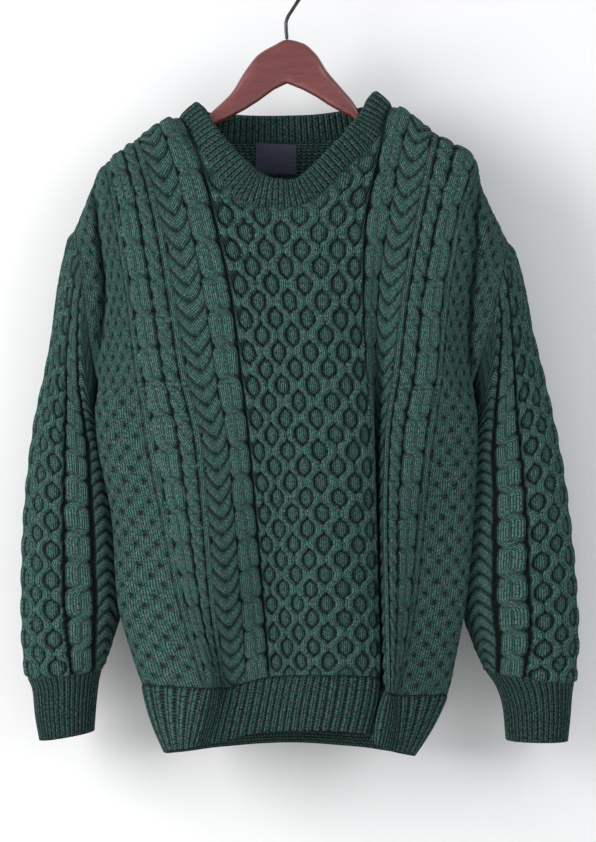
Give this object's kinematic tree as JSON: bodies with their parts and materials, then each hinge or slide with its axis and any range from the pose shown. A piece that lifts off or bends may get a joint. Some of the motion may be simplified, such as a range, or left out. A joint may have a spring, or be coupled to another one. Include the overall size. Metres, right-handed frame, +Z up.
{
  "type": "cable-knit sweater on hanger",
  "caption": "Crewneck cable-knit sweater with ribbed neckband, cuffs and hem, hung on a contoured wooden hanger with a wire hook.",
  "frame": {"origin": "inside top of the hook's loop, where it rests on a rail or peg", "axes": "+Z up, +X to the viewer's right facing the front, -Y out of the front"},
  "size_m": [0.6208, 0.1471, 0.8783],
  "materials": {
    "front": "matt heathered wool, cable knit",
    "back": "matt heathered wool, cable knit",
    "hem_rib_front": "matt heathered wool, rib knit",
    "hem_rib_back": "matt heathered wool, rib knit",
    "sleeve_left": "matt heathered wool, cable knit",
    "sleeve_right": "matt heathered wool, cable knit",
    "cuff_left": "matt heathered wool, rib knit",
    "cuff_right": "matt heathered wool, rib knit",
    "neckband": "matt heathered wool, rib knit",
    "neck_label": "plain woven navy label, bare",
    "hanger": "smooth varnished mahogany",
    "hook": "dark bent wire"
  },
  "bodies": {
    "root": {"front": "front", "back": "back", "hem_rib_front": "hem_rib_front", "hem_rib_back": "hem_rib_back", "sleeve_left": "sleeve_left", "sleeve_right": "sleeve_right", "cuff_left": "cuff_left", "cuff_right": "cuff_right", "neckband": "neckband", "neck_label": "neck_label", "hanger": "hanger", "hook": "hook"}
  },
  "joints": []
}
